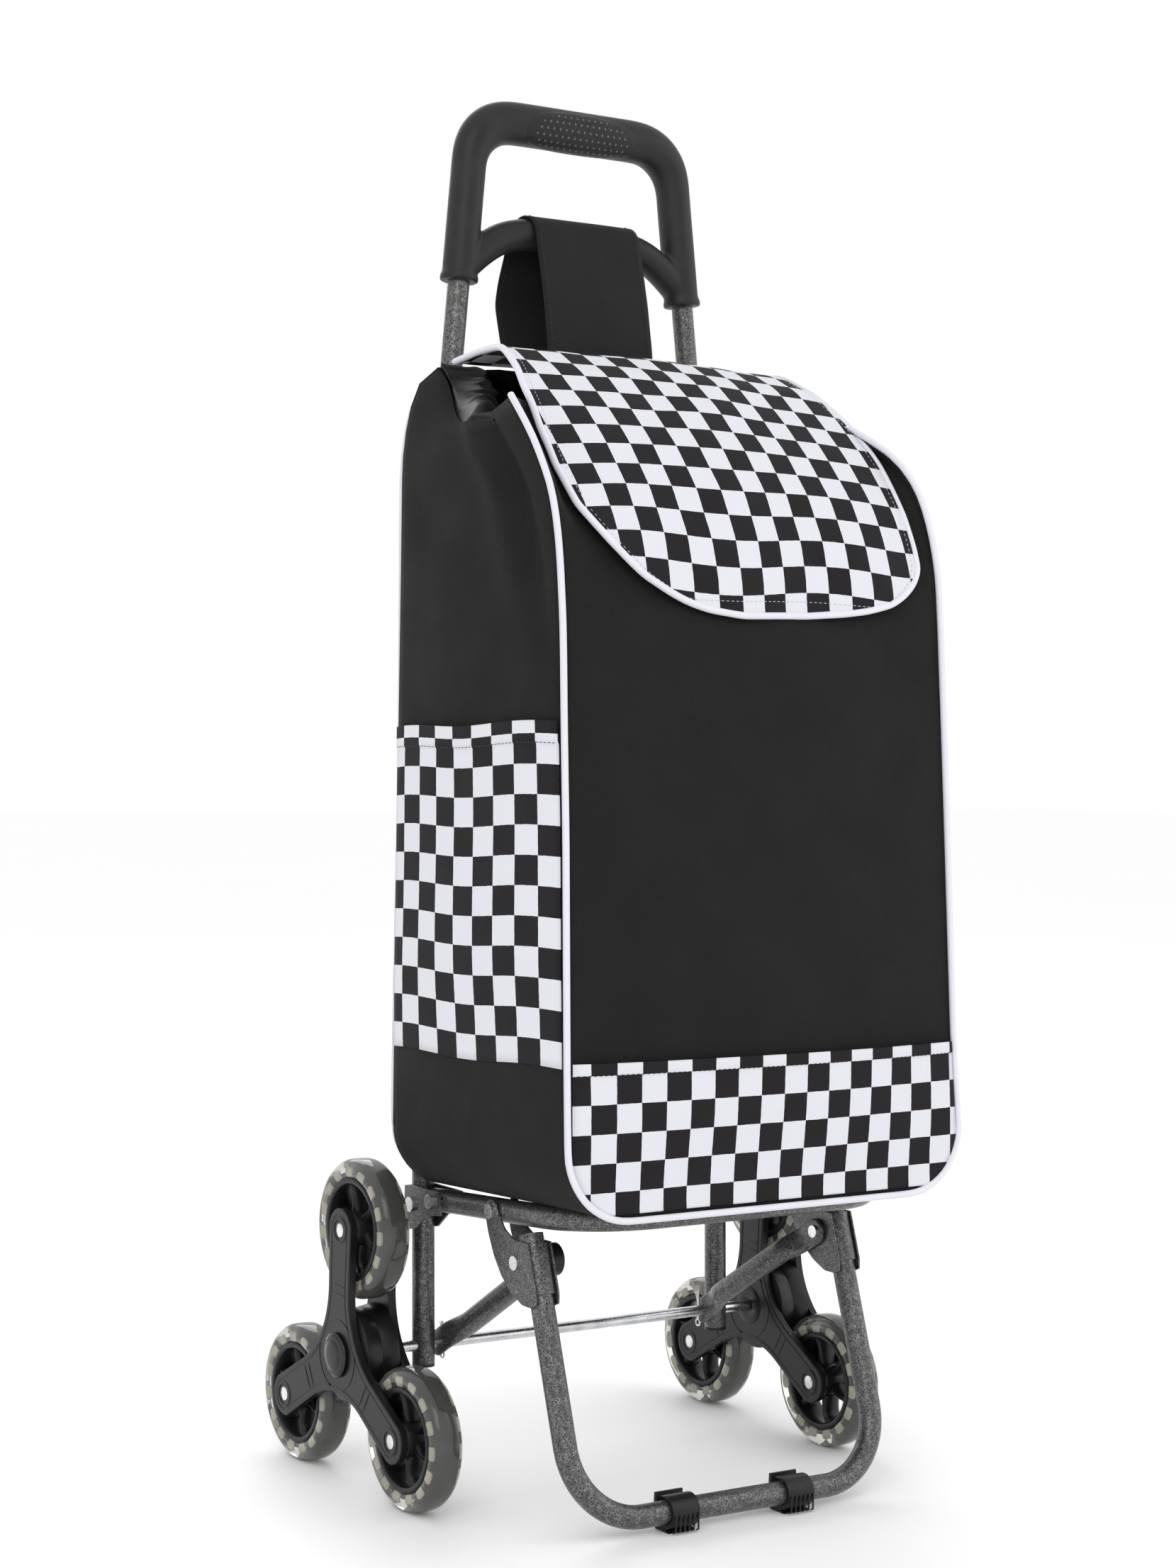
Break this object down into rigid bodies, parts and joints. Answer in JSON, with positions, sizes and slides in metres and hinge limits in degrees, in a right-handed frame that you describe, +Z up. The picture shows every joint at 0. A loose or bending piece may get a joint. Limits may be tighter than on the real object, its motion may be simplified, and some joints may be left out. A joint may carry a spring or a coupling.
{
  "type": "shopping trolley",
  "caption": "Upright shopping trolley with a lidded fabric bag on a folding tube frame, a front support leg and stair-climbing wheel stars.",
  "frame": {"origin": "middle of the object's box, on the ground", "axes": "+Z up, -Y towards the front leg and the flap, +X to the right seen from the front along +Y"},
  "size_m": [0.4024, 0.3588, 0.9763],
  "materials": {
    "hammertone": "dark grey hammertone enamel with silver veins",
    "zinc": "bright zinc plate",
    "handle_plastic": "fine matte moulded plastic",
    "grip_rubber": "soft-touch rubber with rows of small dimples",
    "black_plastic": "satin moulded plastic",
    "star_plastic": "satin black injection-moulded plastic",
    "cap_chrome": "polished",
    "bearing_steel": "ground steel",
    "hub_plastic": "satin black plastic rim with pale windows",
    "tyre_clear": "translucent smoky polyurethane",
    "bag_fabric": "black twill-woven polyester",
    "collar_fabric": "thin shiny gathered lining fabric",
    "checked_fabric": "polyester printed with a black and white check",
    "piping_white": "white covered piping cord",
    "webbing": "wide black webbing with stitched edges",
    "board": "stiff base board"
  },
  "bodies": {
    "frame": {"upright_left": "hammertone", "upright_right": "hammertone", "upright_end_plugs": "black_plastic", "hinge_bracket_left": "hammertone", "hinge_bracket_right": "hammertone", "bracket_bolts": "zinc", "axle": "zinc", "cotter_pins": "zinc", "handle": "handle_plastic", "handle_screws": "zinc", "grip_insert": "grip_rubber", "bag_body": "bag_fabric", "base_board": "board", "bag_collar": "collar_fabric", "front_piping": "piping_white", "back_piping": "piping_white", "front_pocket": "checked_fabric", "side_pocket_left": "checked_fabric", "side_pocket_right": "checked_fabric", "handle_strap": "webbing"},
    "shelf": {"shelf_frame": "hammertone"},
    "leg": {"leg_frame": "hammertone", "leg_plate_left": "hammertone", "leg_plate_right": "hammertone", "leg_rivets": "zinc", "foot_clip_left": "black_plastic", "foot_clip_right": "black_plastic"},
    "struts": {"strut_left": "hammertone", "strut_right": "hammertone", "strut_rivets": "zinc", "pivot_cap": "black_plastic"},
    "flap": {"flap": "checked_fabric", "flap_piping": "piping_white"},
    "star_left": {"star_left_outer": "star_plastic", "star_left_inner": "star_plastic", "star_left_bearings": "bearing_steel", "star_left_cap": "cap_chrome", "wheel_axles_left": "zinc"},
    "wheel_left_top": {"hub_left_top": "hub_plastic", "tyre_left_top": "tyre_clear"},
    "wheel_left_back": {"hub_left_back": "hub_plastic", "tyre_left_back": "tyre_clear"},
    "wheel_left_front": {"hub_left_front": "hub_plastic", "tyre_left_front": "tyre_clear"},
    "star_right": {"star_right_outer": "star_plastic", "star_right_inner": "star_plastic", "star_right_bearings": "bearing_steel", "star_right_cap": "cap_chrome", "wheel_axles_right": "zinc"},
    "wheel_right_top": {"hub_right_top": "hub_plastic", "tyre_right_top": "tyre_clear"},
    "wheel_right_back": {"hub_right_back": "hub_plastic", "tyre_right_back": "tyre_clear"},
    "wheel_right_front": {"hub_right_front": "hub_plastic", "tyre_right_front": "tyre_clear"}
  },
  "joints": [
    {"name": "shelf_fold", "type": "hinge", "parent": "frame", "child": "shelf", "pos_m": [0, 0.03496, 0.197], "axis": [-1, 0, 0], "range_deg": [0, 88], "deforming": ["bag_body", "base_board", "bag_collar", "front_piping", "back_piping", "front_pocket", "side_pocket_left", "side_pocket_right"]},
    {"name": "leg_fold", "type": "hinge", "parent": "shelf", "child": "leg", "pos_m": [0, -0.0438, 0.2032], "axis": [1, 0, 0], "range_deg": [0, 99.2]},
    {"name": "strut_fold", "type": "hinge", "parent": "frame", "child": "struts", "pos_m": [0, 0.05596, 0.09175], "axis": [-1, 0, 0], "range_deg": [0, 41.9]},
    {"name": "flap_open", "type": "hinge", "parent": "frame", "child": "flap", "pos_m": [0, 0.05196, 0.779], "axis": [1, 0, 0], "range_deg": [-80, 0]},
    {"name": "star_left_turn", "type": "hinge", "parent": "frame", "child": "star_left", "pos_m": [-0.178, 0.05596, 0.09175], "axis": [1, 0, 0], "continuous": true},
    {"name": "wheel_left_top_roll", "type": "hinge", "parent": "star_left", "child": "wheel_left_top", "pos_m": [-0.178, 0.05596, 0.17825], "axis": [1, 0, 0], "continuous": true},
    {"name": "wheel_left_back_roll", "type": "hinge", "parent": "star_left", "child": "wheel_left_back", "pos_m": [-0.178, 0.13087, 0.0485], "axis": [1, 0, 0], "continuous": true},
    {"name": "wheel_left_front_roll", "type": "hinge", "parent": "star_left", "child": "wheel_left_front", "pos_m": [-0.178, -0.01895, 0.0485], "axis": [1, 0, 0], "continuous": true},
    {"name": "star_right_turn", "type": "hinge", "parent": "frame", "child": "star_right", "pos_m": [0.178, 0.05596, 0.09175], "axis": [1, 0, 0], "continuous": true},
    {"name": "wheel_right_top_roll", "type": "hinge", "parent": "star_right", "child": "wheel_right_top", "pos_m": [0.178, 0.05596, 0.17825], "axis": [1, 0, 0], "continuous": true},
    {"name": "wheel_right_back_roll", "type": "hinge", "parent": "star_right", "child": "wheel_right_back", "pos_m": [0.178, 0.13087, 0.0485], "axis": [1, 0, 0], "continuous": true},
    {"name": "wheel_right_front_roll", "type": "hinge", "parent": "star_right", "child": "wheel_right_front", "pos_m": [0.178, -0.01895, 0.0485], "axis": [1, 0, 0], "continuous": true}
  ],
  "couplings": [
    {"joint": "leg_fold", "follows": "shelf_fold", "ratio": 1.126},
    {"joint": "strut_fold", "follows": "shelf_fold", "ratio": 0.475}
  ]
}
